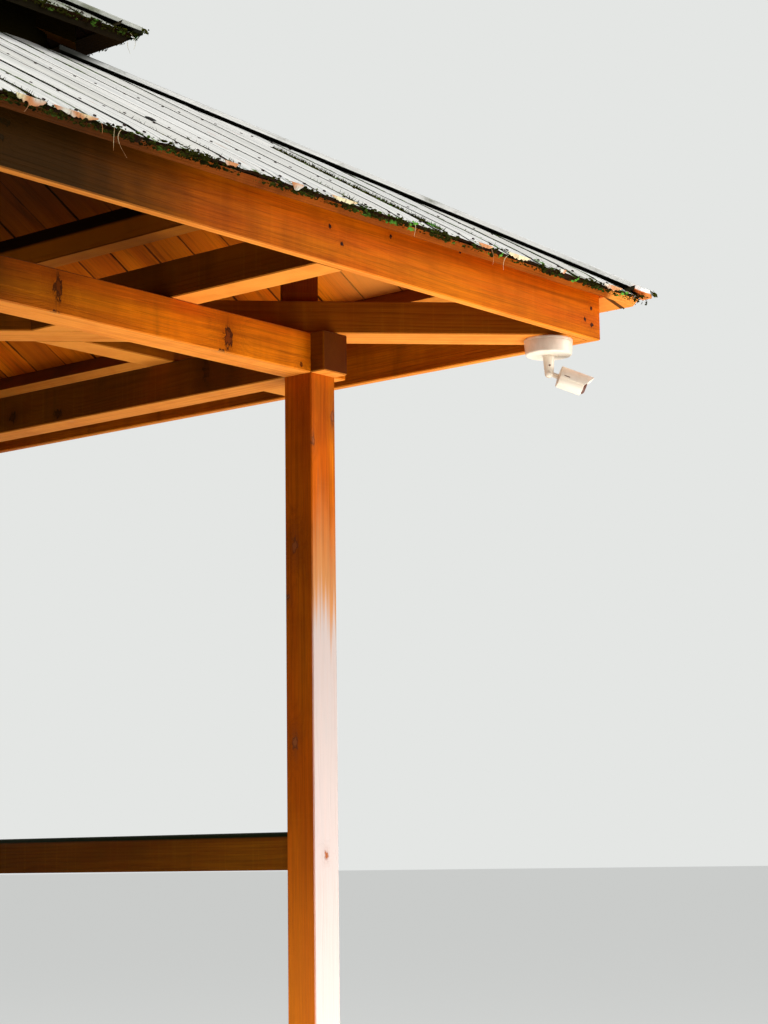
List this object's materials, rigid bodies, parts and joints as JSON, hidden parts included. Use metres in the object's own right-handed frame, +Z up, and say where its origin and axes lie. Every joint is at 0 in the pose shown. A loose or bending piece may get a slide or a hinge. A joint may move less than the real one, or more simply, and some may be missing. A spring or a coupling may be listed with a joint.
{
  "type": "solid roof pergola",
  "caption": "Open square rest shelter of orange cedar timbers with a boarded pyramid roof in two tiers, handrails, benches and a small security camera.",
  "frame": {"origin": "on the floor under the centre of the plan", "axes": "+Z up; the open front faces -Y; the security camera hangs at the front right corner, +X and -Y"},
  "size_m": [4.15, 4.15, 4.1274],
  "materials": {
    "cedar": "oiled orange-brown cedar with open grain",
    "rail_and_bench_cedar": "worn cedar, greenish grey on top",
    "roof_boards": "silver-grey weathered boards",
    "footing_stone": "rough grey stone",
    "fixture_plastic": "satin off-white housing"
  },
  "bodies": {
    "pavilion": {"base_stones": "footing_stone", "front_right_post": "cedar", "front_left_post": "cedar", "back_right_post": "cedar", "back_left_post": "cedar", "front_beam": "cedar", "right_beam": "cedar", "back_beam": "cedar", "left_beam": "cedar", "diagonal_beam_1": "cedar", "diagonal_beam_2": "cedar", "outrigger_arms": "cedar", "front_fascia": "cedar", "right_fascia": "cedar", "back_fascia": "cedar", "left_fascia": "cedar", "king_post": "cedar", "hip_rafters": "cedar", "upper_hip_rafters": "cedar", "hip_struts": "cedar", "purlin_blocks": "cedar", "front_purlins": "cedar", "right_purlins": "cedar", "back_purlins": "cedar", "left_purlins": "cedar", "lantern_frame": "cedar", "lantern_walls": "cedar", "right_rail": "rail_and_bench_cedar", "back_rail": "rail_and_bench_cedar", "left_rail": "rail_and_bench_cedar", "right_bench": "rail_and_bench_cedar", "back_bench": "rail_and_bench_cedar", "left_bench": "rail_and_bench_cedar", "bench_legs": "rail_and_bench_cedar", "front_roof": "roof_boards", "right_roof": "roof_boards", "back_roof": "roof_boards", "left_roof": "roof_boards", "hip_caps": "roof_boards", "upper_roof": "roof_boards", "upper_hip_caps": "roof_boards", "apex_cap": "roof_boards", "eave_battens": "cedar", "camera_base": "fixture_plastic"},
    "neck": {"camera_neck": "fixture_plastic"},
    "camera": {"camera_body": "fixture_plastic"}
  },
  "joints": [
    {"name": "camera_pan", "type": "hinge", "parent": "pavilion", "child": "neck", "pos_m": [1.852, -1.852, 2.362], "axis": [0, 0, 1], "range_deg": [-170, 170]},
    {"name": "camera_tilt", "type": "hinge", "parent": "neck", "child": "camera", "pos_m": [1.852, -1.852, 2.362], "axis": [0.7071, 0.7071, 0], "range_deg": [-20, 55]}
  ]
}
